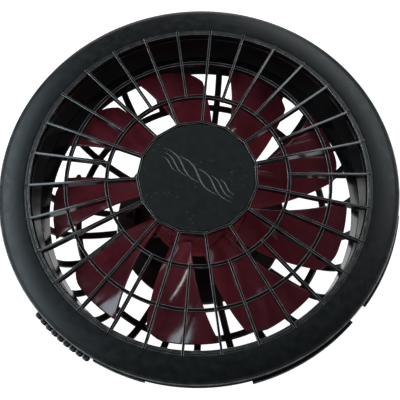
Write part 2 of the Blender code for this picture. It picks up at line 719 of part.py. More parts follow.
def make_armature():
    core_top, core_bottom = -64.0 * MM, -82.0 * MM
    core = turned("armature_core", [(4.3 * MM, core_top), (17.0 * MM, core_top), (17.0 * MM, core_bottom),
                                    (4.3 * MM, core_bottom)], steel("core_steel", 0.5), steps=30)

    def slots(bm):
        for index in range(5):
            angle = 18.0 + index * 72.0
            add_box(bm, (9.0 * MM, 3.0 * MM, 22.0 * MM),
                    polar(16.0 * MM, angle, (core_top + core_bottom) / 2), angle)

    boolean(core, slots, "DIFFERENCE")
    copper = material("winding_copper", (0.60, 0.26, 0.12), 0.35, 1.0)
    for name, top, bottom in (("winding_front", -59.8 * MM, core_top + GAP),
                              ("winding_rear", core_bottom - GAP, -86.3 * MM)):
        round_off = 1.2 * MM
        outline = [(8.0 * MM + round_off, top), (16.5 * MM - round_off, top), (16.5 * MM, top - round_off),
                   (16.5 * MM, bottom), (8.0 * MM, bottom), (8.0 * MM, top - round_off)]
        if name == "winding_rear":
            outline = [(radius, top + bottom - height) for radius, height in reversed(outline)]
        turned(name, outline, copper, steps=MOTOR_STEPS)
    turned("commutator", [(4.3 * MM, -87.0 * MM), (7.5 * MM, -87.0 * MM), (7.5 * MM, -92.2 * MM),
                          (4.3 * MM, -92.2 * MM)],
           material("commutator_copper", (0.70, 0.36, 0.18), 0.25, 1.0), steps=MOTOR_STEPS)
    turned("thrust_washer", [(4.3 * MM, -55.7 * MM), (7.0 * MM, -55.7 * MM), (7.0 * MM, -56.7 * MM),
                             (4.3 * MM, -56.7 * MM)],
           material("washer_nylon", (0.80, 0.79, 0.74), 0.4), steps=MOTOR_STEPS)


# ---------------------------------------------------------------- impeller
def blade_point(chord, span):
    """Point on a blade: chord runs 0 to 1 from its rear edge to its front edge, span from root to tip."""
    root_r = HUB_R - 1.4 * MM
    corner = max(0.0, 1.0 - chord / 0.28)
    tip_r = TIP_R - 7.0 * MM * corner * corner
    radius = root_r + (tip_r - root_r) * span
    share = (radius - root_r) / (TIP_R - root_r)
    rear_angle = -30.0 + 13.5 * share
    front_angle = -4.0 + 16.5 * share - 1.0 * share * share
    rear_height = -65.5 * MM + 14.0 * MM * share
    front_height = -29.5 * MM - 8.5 * MM * share
    bulge = 4.0 * MM * (1.0 - 0.5 * share) * 4.0 * chord * (1.0 - chord)
    angle = rear_angle + (front_angle - rear_angle) * chord
    height = rear_height + (front_height - rear_height) * chord + bulge
    return radius, angle, height


def make_blades():
    """The nine blades as closed solids that reach into the hub's wall."""
    chord_steps, span_steps = 4, 4
    bm = bmesh.new()
    for index in range(BLADE_COUNT):
        turn = BLADE_PHASE + index * 360.0 / BLADE_COUNT
        rows = []
        for row in range(span_steps + 1):
            points = [blade_point(column / chord_steps, row / span_steps)
                      for column in range(chord_steps + 1)]
            rows.append([bm.verts.new(polar(radius, angle + turn, height))
                         for radius, angle, height in points])
        for lower, upper in zip(rows, rows[1:]):
            for column in range(chord_steps):
                bm.faces.new((lower[column], lower[column + 1], upper[column + 1], upper[column]))
    mesh = bpy.data.meshes.new("blades")
    bm.to_mesh(mesh)
    bm.free()
    blades = add_object("impeller_blades", mesh, CUTTERS)
    thicken = blades.modifiers.new("thickness", "SOLIDIFY")
    thicken.thickness = BLADE_THICK
    thicken.offset = 0.0
    return blades


def make_impeller():
    outline = [
        (3.4 * MM, -24.5 * MM), (42.4 * MM, -24.5 * MM), (44.2 * MM, -26.6 * MM),
        (HUB_R, -68.0 * MM), (HUB_R - 2.2 * MM, -68.0 * MM), (41.8 * MM, -28.5 * MM),
        (8.2 * MM, -27.2 * MM), (8.2 * MM, -47.8 * MM), (4.3 * MM, -47.8 * MM),
        (4.3 * MM, -27.5 * MM), (3.4 * MM, -27.5 * MM),
    ]
    impeller = turned("impeller", outline, material("impeller_maroon", (0.075, 0.008, 0.012), 0.25), steps=36)

    def pin_slot(bm):
        add_box(bm, (20.0 * MM, 3.3 * MM, 6.0 * MM), on_axis(0.0, PIN_HEIGHT - 1.2 * MM))

    boolean_with(impeller, make_blades(), "UNION")
    boolean(impeller, pin_slot, "DIFFERENCE")


def make_hub_fasteners():
    turned("hub_washer", [(3.4 * MM, -23.2 * MM), (7.5 * MM, -23.2 * MM), (7.5 * MM, -24.2 * MM),
                          (3.4 * MM, -24.2 * MM)], steel("washer_steel"), steps=MOTOR_STEPS)
    nut = turned("hub_nut", [(3.8 * MM, -18.6 * MM), (6.3 * MM, -18.6 * MM), (6.3 * MM, -22.9 * MM),
                             (3.8 * MM, -22.9 * MM)], steel("nut_steel"), steps=6)
    nut.modifiers["turn"].use_smooth_shade = False


# ---------------------------------------------------------------- screws and leads
def make_screw(name, radius, degrees, head, tip, upright):
    """Pan-head screw between its head's seat and its tip; upright means that its head is on top."""
    sign = 1.0 if upright else -1.0
    outline = [
        (0.0, head + sign * 1.9 * MM), (1.6 * MM, head + sign * 1.8 * MM),
        (2.6 * MM, head + sign * 1.1 * MM), (2.8 * MM, head), (1.4 * MM, head),
        (1.4 * MM, tip + sign * 0.8 * MM), (0.6 * MM, tip), (0.0, tip),
    ]
    if not upright:
        outline.reverse()
    screw = turned(name, outline, steel(f"{name}_steel"), steps=6, closed=False)
    screw.location = (*xy(radius, degrees), 0.0)


def make_screws():
    guard_rear = guard_point(0.0).y - GUARD_THICK
    for index, angle in enumerate(DUCT_SCREW_ANGLES, start=1):
        make_screw(f"guard_screw_{index}", DUCT_SCREW_R, angle, guard_rear - GAP, -50.5 * MM, False)
    for index, angle in enumerate(COVER_SCREW_ANGLES, start=1):
        make_screw(f"cover_screw_{index}", COVER_SCREW_R, angle, -116.7 * MM, -98.0 * MM, False)
    for index, angle in enumerate(CLAMP_SCREW_ANGLES, start=1):
        make_screw(f"clamp_screw_{index}", CLAMP_SCREW_R, angle, -77.3 * MM, -91.0 * MM, True)
    for index, angle in enumerate((90.0, 270.0), start=1):
        make_screw(f"motor_screw_{index}", MOTOR_SCREW_R, angle, PLATE_TOP - PLATE_THICK - GAP,
                   -94.6 * MM, False)


def make_lead(name, side, colour):
    """Insulated lead from a motor tab to the terminal block, inside the rear cover."""
    y = side * TERMINAL_Y / MM
    rest = TERMINAL_HEIGHT / MM
    start = (side * TAB_X / MM, 0.0, -107.6)
    if side > 0.0:
        route = [start, (14.6, 2.0, -110.6), (10.0, 5.5, -112.0), (-8.0, 8.0, rest), (-24.0, 6.0, rest),
                 (-36.2, y, rest)]
    else:
        route = [start, (-15.6, -1.5, -110.4), (-19.0, -4.2, -112.0), (-25.0, y, rest), (-36.2, y, rest)]
    curve = bpy.data.curves.new(name, "CURVE")
    curve.dimensions = "3D"
    curve.bevel_depth = 1.1 * MM
    curve.bevel_resolution = 2
    curve.use_fill_caps = True
    spline = curve.splines.new("POLY")
    points = smooth_route([Vector(place) * MM for place in route])
    spline.points.add(len(points) - 1)
    for point, place in zip(spline.points, points):
        point.co = (place.x, place.y, FACE_HEIGHT + place.z, 1.0)
    curve.materials.append(material(f"{name}_insulation", colour, 0.45))
    PARTS.objects.link(bpy.data.objects.new(name, curve))


def smooth_route(route, per_span=3):
    """Points of a Catmull-Rom curve through a route's own points."""
    ends = [route[0] * 2 - route[1], *route, route[-1] * 2 - route[-2]]
    points = []
    for before, first, second, after in zip(ends, ends[1:], ends[2:], ends[3:]):
        for step in range(per_span):
            t = step / per_span
            points.append(0.5 * (2 * first + (second - before) * t
                                 + (2 * before - 5 * first + 4 * second - after) * t ** 2
                                 + (3 * first - before - 3 * second + after) * t ** 3))
    points.append(route[-1])
    return points


# ---------------------------------------------------------------- build
make_front_bezel()
make_front_grille()
make_centre_badge()
make_duct_housing()
make_flange_gasket()
make_rear_guard()
make_motor_plate()
make_rear_cover()
make_cable_grommet()
make_terminal_block()
make_motor_sleeve()
make_motor_clamp()
make_motor_can()
make_end_bell()
make_bearings()
make_magnets()
make_brushes()
make_motor_tabs()
make_shaft()
make_armature()
make_impeller()
make_hub_fasteners()
make_screws()
make_lead("motor_lead_red", 1.0, (0.45, 0.02, 0.02))
make_lead("motor_lead_black", -1.0, (0.02, 0.02, 0.02))
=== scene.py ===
import json
import math

import bmesh
import bpy
from mathutils import Matrix, Vector


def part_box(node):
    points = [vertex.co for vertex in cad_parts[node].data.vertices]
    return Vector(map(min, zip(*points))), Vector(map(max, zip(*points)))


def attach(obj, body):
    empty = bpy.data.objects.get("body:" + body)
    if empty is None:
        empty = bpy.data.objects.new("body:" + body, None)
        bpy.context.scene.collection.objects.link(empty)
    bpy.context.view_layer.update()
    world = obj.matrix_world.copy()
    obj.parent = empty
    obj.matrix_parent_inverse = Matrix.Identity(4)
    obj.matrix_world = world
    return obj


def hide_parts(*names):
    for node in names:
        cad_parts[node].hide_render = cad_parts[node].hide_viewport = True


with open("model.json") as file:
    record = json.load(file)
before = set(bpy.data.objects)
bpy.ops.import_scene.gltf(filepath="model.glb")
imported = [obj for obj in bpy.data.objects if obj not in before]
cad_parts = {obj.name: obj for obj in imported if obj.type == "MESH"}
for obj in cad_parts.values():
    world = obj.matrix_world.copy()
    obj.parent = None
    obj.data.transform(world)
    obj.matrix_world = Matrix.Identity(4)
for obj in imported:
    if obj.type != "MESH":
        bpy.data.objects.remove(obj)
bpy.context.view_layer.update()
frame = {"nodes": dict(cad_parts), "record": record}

# All sizes below are in millimetres, and heights are counted from the bezel's face plane.
# They repeat the CAD's own dimensions, so that each piece lies on the node it stands for.
MM = 0.001
GAP = 0.3                             # between pieces that touch
SCREW_HOLE_R = 1.75
HOLE_STEPS = 20
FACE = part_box("front_bezel")[1].z
OUTER_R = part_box("front_bezel")[1].y / MM
PLATE_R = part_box("motor_plate")[1].x / MM
COVER_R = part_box("rear_cover")[1].x / MM
REAR = -FACE / MM                     # the resting face

INNER_R = 137.6                       # the bezel's inner edge
COLLAR_R, COLLAR_WALL, COLLAR_END = 135.0, 2.2, -36.5
SKIRT_END, SKIRT_WALL = -19.0, 2.2
FACE_START, FACE_STEP, FACE_POINTS = 139.7, 1.4, 14   # where the face's crown is sampled
RAISED_ARCS = ((280.5, 312.0, 2.6), (318.0, 346.0, 2.6), (236.5, 251.5, 1.2))   # start, end, proud
ARC_BOTTOM, ARC_TOP = -18.8, -12.0
GRIP_CENTRE, GRIP_PITCH, GRIP_COUNT = 225.7, 2.18, 9
GRIP_R, GRIP_BOTTOM, GRIP_TOP = 2.4, -18.6, -8.0
HOOK_ANGLES, HOOK_HALF, HOOK_INNER_R = (33.0, 123.0, 213.0, 303.0), 5.0, 151.2
HOOK_BOTTOM, HOOK_TOP = -16.2, -13.6
UNLOCK_TURN = 14.0

RIB_COUNT, RIB_PHASE = 30, 81.3       # even ribs run on to the hub ring
RIB_WIDTH, RIB_DEPTH = 1.9, 6.5
OUTER_RING_R, INNER_RING_R, HUB_RING_R = 106.1, 72.9, 47.9
RING_WIDTH, RING_DEPTH = 2.6, 5.4
GRILLE_RIM_R, DOME_RISE = 136.4, 8.6
RIB_STATIONS = 16
BADGE_R, MOTIF_RELIEF = 46.0, 0.45

TUBE_INNER_R, TUBE_OUTER_R = 137.6, 139.8
DUCT_FRONT_R, DUCT_REAR_R, DUCT_REAR_OUTER_R, DUCT_END = 134.7, 132.6, 136.8, -61.0
FLANGE_R, FLANGE_TOP, FLANGE_BOTTOM = 155.4, -10.5, -13.1
FOOT_R, FOOT_END = 149.2, -19.5
DUCT_SCREW_R, DUCT_SCREW_ANGLES = 137.3, (8.0, 98.0, 188.0, 278.0)
FLANGE_HOLE_R, FLANGE_HOLE_TURN, FLANGE_HOLE_SIZE = 144.5, -30.0, 2.2
GASKET_INNER_R, GASKET_THICK = 141.6, 3.0

BAR_COUNT, BAR_PHASE, BAR_WIDTH, GUARD_THICK = 27, -82.0, 6.0, 3.4
LONG_BARS = sorted({*range(0, BAR_COUNT, 3), 17, 19, 20})
HOOK_BAR = 18
GUARD_RING_R, GUARD_RIM_R, BAND_OUTER_R, BAND_INNER_R = 112.5, 133.2, 78.5, 62.0
GUARD_TOP, GUARD_RIM_OUTER_R, GUARD_RING_HALF = -61.4, 140.6, 3.0
BAND_TOP = -102.7

PLATE_TOP, PLATE_THICK, CUP_TOP = -99.1, 3.2, -80.0
CUP_INNER_R, CUP_OUTER_R = 26.4, 29.2
MOTOR_SCREW_R, MOTOR_SCREW_ANGLES, TAB_X = 14.0, (90.0, 270.0), 15.0
COVER_WALL, COVER_FLOOR = 2.2, 2.4
CAN_R, CAN_TOP, CAN_BOTTOM, BOSS_TOP = 22.6, -53.6, -92.6, -49.4
COVER_SCREW_R, COVER_SCREW_ANGLES = 69.0, (50.0, 170.0, 290.0)
CLAMP_SCREW_R, CLAMP_SCREW_ANGLES = 32.6, (20.0, 140.0, 260.0)
GROMMET_HEIGHT = -111.5

BLADE_COUNT, BLADE_PHASE = 9, -98.0
HUB_R, TIP_R, BLADE_THICK = 45.0, 125.5, 2.0
CHORD_EDGE, TIP_EDGE = 0.022, 0.012   # rounded share of a blade's chord and span

MIX_FACTOR, MIX_FIRST, MIX_SECOND, MIX_RESULT = 0, 6, 7, 2   # a Mix node's sockets for colours
SHARP_DEGREES = 32.0                  # edges sharper than this are not smoothed


# ---------------------------------------------------------------- materials
def node_material(name):
    mat = bpy.data.materials.new(name)
    mat.use_nodes = True
    return mat, mat.node_tree.nodes, mat.node_tree.links


def noise(nodes, links, coords, scale, detail=4.0, stretch=None):
    """Noise texture on object coordinates, in features of about 1/scale metres."""
    texture = nodes.new("ShaderNodeTexNoise")
    texture.inputs["Scale"].default_value = scale
    texture.inputs["Detail"].default_value = detail
    if stretch is None:
        links.new(coords.outputs["Object"], texture.inputs["Vector"])
    else:
        mapping = nodes.new("ShaderNodeMapping")
        mapping.inputs["Scale"].default_value = stretch
        links.new(coords.outputs["Object"], mapping.inputs["Vector"])
        links.new(mapping.outputs["Vector"], texture.inputs["Vector"])
    return texture


def ramp(nodes, links, source, low, high, from_low=0.35, from_high=0.65):
    """Map a texture's factor to a range."""
    span = nodes.new("ShaderNodeMapRange")
    span.inputs["From Min"].default_value = from_low
    span.inputs["From Max"].default_value = from_high
    span.inputs["To Min"].default_value = low
    span.inputs["To Max"].default_value = high
    links.new(source, span.inputs["Value"])
    return span.outputs["Result"]


def blend_colours(nodes, links, factor, first, second):
    """Mix two colours. The first is a colour or another node's output."""
    mix = nodes.new("ShaderNodeMix")
    mix.data_type = "RGBA"
    if isinstance(first, tuple):
        mix.inputs[MIX_FIRST].default_value = (*first, 1.0)
    else:
        links.new(first, mix.inputs[MIX_FIRST])
    mix.inputs[MIX_SECOND].default_value = (*second, 1.0)
    links.new(factor, mix.inputs[MIX_FACTOR])
    return mix.outputs[MIX_RESULT]


def bump(nodes, links, source, distance, before=None):
    """Surface relief of a depth in metres, on top of an earlier one if there is one."""
    node = nodes.new("ShaderNodeBump")
    node.inputs["Distance"].default_value = distance
    links.new(source, node.inputs["Height"])
    if before is not None:
        links.new(before, node.inputs["Normal"])
    return node.outputs["Normal"]


def multiply(nodes, links, first, second):
    node = nodes.new("ShaderNodeMath")
    node.operation = "MULTIPLY"
    links.new(first, node.inputs[0])
    links.new(second, node.inputs[1])
    return node.outputs[0]


def edge_wear_and_highlight(nodes, links, coords, patches, base, lightness):
    """Painted highlight with patchy wear: lighten the upper edges, where the surface turns from facing up to
    facing sideways.
    """
    parts = nodes.new("ShaderNodeSeparateXYZ")
    links.new(coords.outputs["Normal"], parts.inputs[0])
    # the mask peaks on upper edges; there a painted highlight stands in for the light they catch, mixed with
    # patchy wear
    turning = multiply(nodes, links, ramp(nodes, links, parts.outputs["Z"], 0.0, 1.0, 0.20, 0.50),
                       ramp(nodes, links, parts.outputs["Z"], 1.0, 0.0, 0.80, 0.98))
    wear_and_highlight = multiply(nodes, links, turning, ramp(nodes, links, patches.outputs["Fac"], 0.45, 1.0))
    return blend_colours(nodes, links, wear_and_highlight, base, (lightness, lightness * 1.03, lightness * 1.05))


def plastic(name, colour, roughness, grain=1400.0, grain_depth=0.00002, flow_depth=0.0002,
            tint=1.35, specks=0.0, specular=0.5, edge=0.0):
    """Moulded plastic: fine surface grain, slow flow marks, slight colour and gloss variation.
    specks is how strong scattered pale specks are, and edge how light the painted highlight, with patchy
    wear, along the upper edges is."""
    mat, nodes, links = node_material(name)
    shader = nodes["Principled BSDF"]
    coords = nodes.new("ShaderNodeTexCoord")
    fine = noise(nodes, links, coords, grain, 3.0)
    slow = noise(nodes, links, coords, 18.0, 2.0)
    middle = noise(nodes, links, coords, 160.0, 5.0)
    lighter = tuple(min(1.0, c * tint) for c in colour)
    patches = ramp(nodes, links, middle.outputs["Fac"], 0.0, 1.0)
    base = blend_colours(nodes, links, patches, colour, lighter)
    if specks > 0.0:
        cells = nodes.new("ShaderNodeTexVoronoi")
        cells.inputs["Scale"].default_value = 260.0
        links.new(coords.outputs["Object"], cells.inputs["Vector"])
        dots = ramp(nodes, links, cells.outputs["Distance"], 1.0, 0.0, 0.08, 0.20)
        patchy = noise(nodes, links, coords, 45.0, 2.0)
        strength = ramp(nodes, links, patchy.outputs["Fac"], 0.0, specks, 0.45, 0.7)
        gate = multiply(nodes, links, dots, strength)
        base = blend_colours(nodes, links, gate, base, (0.12, 0.13, 0.13))
    if edge > 0.0:
        # painted highlight along the upper edges, with patchy wear
        base = edge_wear_and_highlight(nodes, links, coords, middle, base, edge)
    links.new(base, shader.inputs["Base Color"])
    links.new(ramp(nodes, links, middle.outputs["Fac"], roughness * 0.88, roughness * 1.12),
              shader.inputs["Roughness"])
    normal = bump(nodes, links, slow.outputs["Fac"], flow_depth)
    normal = bump(nodes, links, fine.outputs["Fac"], grain_depth, before=normal)
    links.new(normal, shader.inputs["Normal"])
    shader.inputs["Specular IOR Level"].default_value = specular
    return mat


def metal(name, colour, roughness, stretch=(1.0, 1.0, 1.0), scale=900.0):
    """Metal with fine drawn or turned marks and slightly uneven plating."""
    mat, nodes, links = node_material(name)
    shader = nodes["Principled BSDF"]
    coords = nodes.new("ShaderNodeTexCoord")
    marks = noise(nodes, links, coords, scale, 3.0, stretch)
    patches = noise(nodes, links, coords, 120.0, 4.0)
    darker = tuple(c * 0.72 for c in colour)
    base = blend_colours(nodes, links, ramp(nodes, links, patches.outputs["Fac"], 0.0, 1.0), colour, darker)
    links.new(base, shader.inputs["Base Color"])
    links.new(ramp(nodes, links, marks.outputs["Fac"], roughness * 0.8, roughness * 1.3),
              shader.inputs["Roughness"])
    links.new(bump(nodes, links, marks.outputs["Fac"], 0.00001), shader.inputs["Normal"])
    shader.inputs["Metallic"].default_value = 1.0
    return mat


def foam(name, colour):
    """Closed-cell foam: small round pores."""
    mat, nodes, links = node_material(name)
    shader = nodes["Principled BSDF"]
    coords = nodes.new("ShaderNodeTexCoord")
    cells = nodes.new("ShaderNodeTexVoronoi")
    cells.inputs["Scale"].default_value = 900.0
    links.new(coords.outputs["Object"], cells.inputs["Vector"])
    lighter = tuple(c * 2.2 for c in colour)
    base = blend_colours(nodes, links, ramp(nodes, links, cells.outputs["Distance"], 0.0, 1.0, 0.1, 0.6),
                         colour, lighter)
    links.new(base, shader.inputs["Base Color"])
    links.new(bump(nodes, links, cells.outputs["Distance"], 0.0002), shader.inputs["Normal"])
    shader.inputs["Roughness"].default_value = 0.9
    return mat


MATERIALS = {
    # edge= paints a highlight, with patchy wear, along the upper edges of the bezel and the grille
    "bezel_plastic": plastic("bezel_plastic", (0.0045, 0.0056, 0.0060), 0.33, grain_depth=0.000016,
                             edge=0.24),
    "grille_plastic": plastic("grille_plastic", (0.0040, 0.0046, 0.0048), 0.13, flow_depth=0.00005,
                              grain_depth=0.000004, specular=0.7, edge=0.36),
    "badge_plastic": plastic("badge_plastic", (0.0075, 0.0100, 0.0095), 0.55, grain=900.0,
                             grain_depth=0.00005, specks=0.6, specular=0.22),
    "badge_motif": plastic("badge_motif", (0.0850, 0.0900, 0.0900), 0.30, tint=1.5),
    "duct_plastic": plastic("duct_plastic", (0.0030, 0.0034, 0.0038), 0.12, grain_depth=0.000003,
                            flow_depth=0.00012, specular=0.3),
    "impeller_plastic": plastic("impeller_plastic", (0.2100, 0.0300, 0.0440), 0.12,
                                grain_depth=0.000003, flow_depth=0.00025, tint=1.2, specular=0.6),
    "guard_plastic": plastic("guard_plastic", (0.0050, 0.0056, 0.0062), 0.32),
    "cover_plastic": plastic("cover_plastic", (0.0085, 0.0100, 0.0110), 0.42, grain=1000.0,
                             grain_depth=0.00004),
    "gasket_foam": foam("gasket_foam", (0.016, 0.016, 0.017)),
    "black_rubber": plastic("black_rubber", (0.012, 0.012, 0.013), 0.62, grain_depth=0.00004, specular=0.3),
    "can_steel": metal("can_steel", (0.52, 0.53, 0.55), 0.30, (1.0, 1.0, 0.05)),
    "screw_steel": metal("screw_steel", (0.50, 0.50, 0.52), 0.28),
    "shaft_steel": metal("shaft_steel", (0.60, 0.61, 0.63), 0.18, (0.05, 0.05, 1.0)),
    "core_steel": metal("core_steel", (0.30, 0.30, 0.32), 0.45, (0.02, 0.02, 1.0), 2000.0),
    "magnet_ferrite": plastic("magnet_ferrite", (0.035, 0.035, 0.040), 0.6, grain_depth=0.00008),
    "bearing_bronze": metal("bearing_bronze", (0.55, 0.38, 0.18), 0.35),
    "copper": metal("copper", (0.60, 0.26, 0.12), 0.30, (1.0, 1.0, 0.1), 2500.0),
    "tab_brass": metal("tab_brass", (0.72, 0.56, 0.28), 0.30),
    "brush_carbon": plastic("brush_carbon", (0.030, 0.030, 0.030), 0.55, grain_depth=0.00006),
    "natural_nylon": plastic("natural_nylon", (0.62, 0.61, 0.56), 0.42, tint=1.08),
    "end_bell_plastic": plastic("end_bell_plastic", (0.025, 0.025, 0.026), 0.5),
    "red_insulation": plastic("red_insulation", (0.36, 0.014, 0.014), 0.35, tint=1.15),
    "black_insulation": plastic("black_insulation", (0.014, 0.014, 0.014), 0.35),
}


# ---------------------------------------------------------------- mesh helpers
def at(radius, degrees, height):
    """Point in metres from a radius, an angle and a height."""
    angle = math.radians(degrees)
    return Vector((radius * MM * math.cos(angle), radius * MM * math.sin(angle), FACE + height * MM))


def rounded(corners, segments=5):
    """Outline from (x, y, rounding) corners, in order round the shape, with an arc at each rounding."""
    points = []
    for index, (x, y, size) in enumerate(corners):
        here = Vector((x, y))
        if size <= 0.0:
            points.append((x, y))
            continue
        back = (Vector(corners[index - 1][:2]) - here).normalized()
        ahead = (Vector(corners[(index + 1) % len(corners)][:2]) - here).normalized()
        half = back.angle(ahead) / 2
        centre = here + (back + ahead).normalized() * (size / math.sin(half))
        start = here + back * (size / math.tan(half)) - centre
        end = here + ahead * (size / math.tan(half)) - centre
        turn = start.angle_signed(end)
        for step in range(segments + 1):
            arm = Matrix.Rotation(-turn * step / segments, 2) @ start
            points.append(tuple(centre + arm))
    return points


def ring_of_quads(bm, rings, closed_round=True):
    """Faces between closed rows of vertices, and from the last row back to the first."""
    following = rings[1:] + (rings[:1] if closed_round else [])
    for row, after in zip(rings, following):
        count = len(row)
        for index in range(count):
            ahead = (index + 1) % count
            bm.faces.new((row[index], row[ahead], after[ahead], after[index]))


def lathe(bm, outline, steps=240):
    """Closed outline of (radius, height) turned round the fan's axis. Points on the axis merge."""
    rings = [[bm.verts.new(at(radius, 360.0 * step / steps, height)) for radius, height in outline]
             for step in range(steps)]
    ring_of_quads(bm, rings)
    if min(radius for radius, _ in outline) < 0.001:
        bmesh.ops.remove_doubles(bm, verts=[v for ring in rings for v in ring], dist=0.000001)


def tube(bm, rows):
    """Closed solid through rows of vertices, with a cap at each end."""
    ring_of_quads(bm, rows, closed_round=False)
    bm.faces.new(list(reversed(rows[0])))
    bm.faces.new(rows[-1])


def arc_block(bm, outline, start, end, facet=1.5):
    """Outline of (radius, height) swept round the axis between two angles."""
    steps = max(2, round((end - start) / facet))
    tube(bm, [[bm.verts.new(at(radius, start + (end - start) * step / steps, height))
               for radius, height in outline] for step in range(steps + 1)])


def post(bm, place, outline, steps=32):
    """Outline of (radius, height) turned round its own axis, with its origin and Z set by a matrix."""
    rings = []
    for step in range(steps):
        angle = 2 * math.pi * step / steps
        rings.append([bm.verts.new(place @ Vector((radius * MM * math.cos(angle),
                                                   radius * MM * math.sin(angle), height * MM)))
                      for radius, height in outline])
    ring_of_quads(bm, rings)
    bmesh.ops.remove_doubles(bm, verts=[v for ring in rings for v in ring], dist=0.000001)


def rod(bm, radius, degrees, size, bottom, top, steps=32):
    """Upright cylinder at a place on the fan, for holes and bosses."""
    post(bm, Matrix.Translation(at(radius, degrees, 0.0)),
         [(0.0, bottom), (size, bottom), (size, top), (0.0, top)], steps)


def block(bm, size, middle, turn=0.0):
    """Box of a size about its middle point, turned about the vertical by some degrees."""
    place = Matrix.Translation(middle) @ Matrix.Rotation(math.radians(turn), 4, "Z")
    scale = Matrix.Diagonal((*(side * MM for side in size), 1.0))
    bmesh.ops.create_cube(bm, size=1.0, matrix=place @ scale)


def new_object(name, bm):
    bmesh.ops.recalc_face_normals(bm, faces=bm.faces)
    mesh = bpy.data.meshes.new(name)
    bm.to_mesh(mesh)
    bm.free()
    obj = bpy.data.objects.new(name, mesh)
    bpy.context.scene.collection.objects.link(obj)
    return obj


def combine(obj, fill, operation="UNION"):
    """Join or cut an object with the solids that fill(bm) adds."""
    bm = bmesh.new()
    fill(bm)
    tool = new_object("tool", bm)
    modifier = obj.modifiers.new("combine", "BOOLEAN")
    modifier.operation = operation
    modifier.solver = "EXACT"
    modifier.object = tool
    bpy.context.view_layer.update()
    depsgraph = bpy.context.evaluated_depsgraph_get()
    mesh = bpy.data.meshes.new_from_object(obj.evaluated_get(depsgraph))
    old = obj.data
    obj.modifiers.clear()
    obj.data = mesh
    bpy.data.meshes.remove(old)
    bpy.data.objects.remove(tool)


def finish_piece(obj, body, slot, *nodes):
    """Shade, paint and attach a finished piece that stands for some CAD nodes."""
    obj.data.materials.clear()
    obj.data.materials.append(MATERIALS[slot])
    obj.data.polygons.foreach_set("material_index", [0] * len(obj.data.polygons))
    obj.data.shade_smooth()
    obj.data.set_sharp_from_angle(angle=math.radians(SHARP_DEGREES))
    weighted = obj.modifiers.new("normals", "WEIGHTED_NORMAL")
    weighted.keep_sharp = True
    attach(obj, body)
    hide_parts(*nodes)
    return obj


# ---------------------------------------------------------------- front bezel
def crown(radius):
    """Height of the bezel's face: a low crown between the inner lip and the outer edge."""
    share = (radius - 147.5) / 9.0
    return -0.1 - 0.45 * share * share


def make_bezel():
    radii = [FACE_START + FACE_STEP * step for step in range(FACE_POINTS)]
    face = [(radius, crown(radius), 0.0) for radius in radii]
    collar_outer_r, skirt_inner_r = COLLAR_R + COLLAR_WALL, OUTER_R - SKIRT_WALL
    ledge = -6.6                          # the grille's rim rests on it
    outline = rounded([
        (INNER_R, ledge, 0.2), (INNER_R, -0.1, 0.4), (139.0, -0.1, 0.3), (139.2, -0.8, 0.1), *face,
        (OUTER_R, -1.6, 1.4), (OUTER_R, SKIRT_END, 0.5), (skirt_inner_r, SKIRT_END, 0.5),
        (skirt_inner_r, -7.6, 1.0), (OUTER_R - 4.8, -4.2, 1.0), (INNER_R + 1.8, -2.8, 0.3),
        (INNER_R + 1.8, -8.4, 0.5), (collar_outer_r, -9.4, 0.3), (collar_outer_r, COLLAR_END, 0.5),
        (COLLAR_R, COLLAR_END, 0.5), (COLLAR_R, ledge, 0.3),
    ])
    bm = bmesh.new()
    lathe(bm, outline, 360)
    bezel = new_object("bezel", bm)

    def features(bm):
        for angle in HOOK_ANGLES:
            root = OUTER_R - 1.2
            hook = rounded([(HOOK_INNER_R, HOOK_BOTTOM, 0.3), (root, HOOK_BOTTOM, 0.0),
                            (root, HOOK_TOP, 0.0), (HOOK_INNER_R, HOOK_TOP, 0.3)], 3)
            arc_block(bm, hook, angle - HOOK_HALF, angle + HOOK_HALF)
        for turn in (0.0, 180.0):
            for start, end, proud in RAISED_ARCS:
                root, crest = OUTER_R - 1.0, OUTER_R + proud
                edge = rounded([(root, ARC_BOTTOM, 0.0), (crest, ARC_BOTTOM, 0.5), (crest, ARC_TOP, 0.8),
                                (root, ARC_TOP, 0.0)])
                arc_block(bm, edge, start + turn, end + turn)
            for index in range(GRIP_COUNT):
                angle = GRIP_CENTRE + turn + (index - (GRIP_COUNT - 1) / 2) * GRIP_PITCH
                ridge = rounded([(0.0, GRIP_BOTTOM, 0.0), (GRIP_R, GRIP_BOTTOM, 0.5),
                                 (GRIP_R, GRIP_TOP, 1.6), (0.0, GRIP_TOP, 0.0)])
                post(bm, Matrix.Translation(at(OUTER_R + 1.5, angle, 0.0)), ridge, 20)

    combine(bezel, features)
    finish_piece(bezel, "front_guard", "bezel_plastic", "front_bezel")


# ---------------------------------------------------------------- front grille
def dome(radius):
    """Height of the ribs' crests: highest at the hub ring, level with the bezel at the rim."""
    share = min(1.0, radius / GRILLE_RIM_R)
    return 0.5 + DOME_RISE * (1.0 - share * share) ** 1.25


def crest_outline(width, depth):
    """Section of a rib or ring as (across, down): a flat crest with rounded edges, and a blunt foot."""
    half = width / 2
    corner = 0.42
    angles = [math.pi / 6 * step for step in range(4)]
    turn = [(corner * math.cos(angle), corner * math.sin(angle)) for angle in angles]
    right = [(half - corner + x, corner - y) for x, y in turn]
    left = [(-x, down) for x, down in reversed(right)]
    return right + left + [(-half * 0.85, depth - 0.3), (-half * 0.45, depth), (half * 0.45, depth),
                           (half * 0.85, depth - 0.3)]


def rib(bm, degrees, radii, depths):
    """Radial rib through a list of radii."""
    across = Vector((-math.sin(math.radians(degrees)), math.cos(math.radians(degrees)), 0.0))
    rows = []
    for radius, depth in zip(radii, depths):
        crest = at(radius, degrees, dome(radius))
        rows.append([bm.verts.new(crest + across * side * MM - Vector((0.0, 0.0, down * MM)))
                     for side, down in crest_outline(RIB_WIDTH, depth)])
    tube(bm, rows)


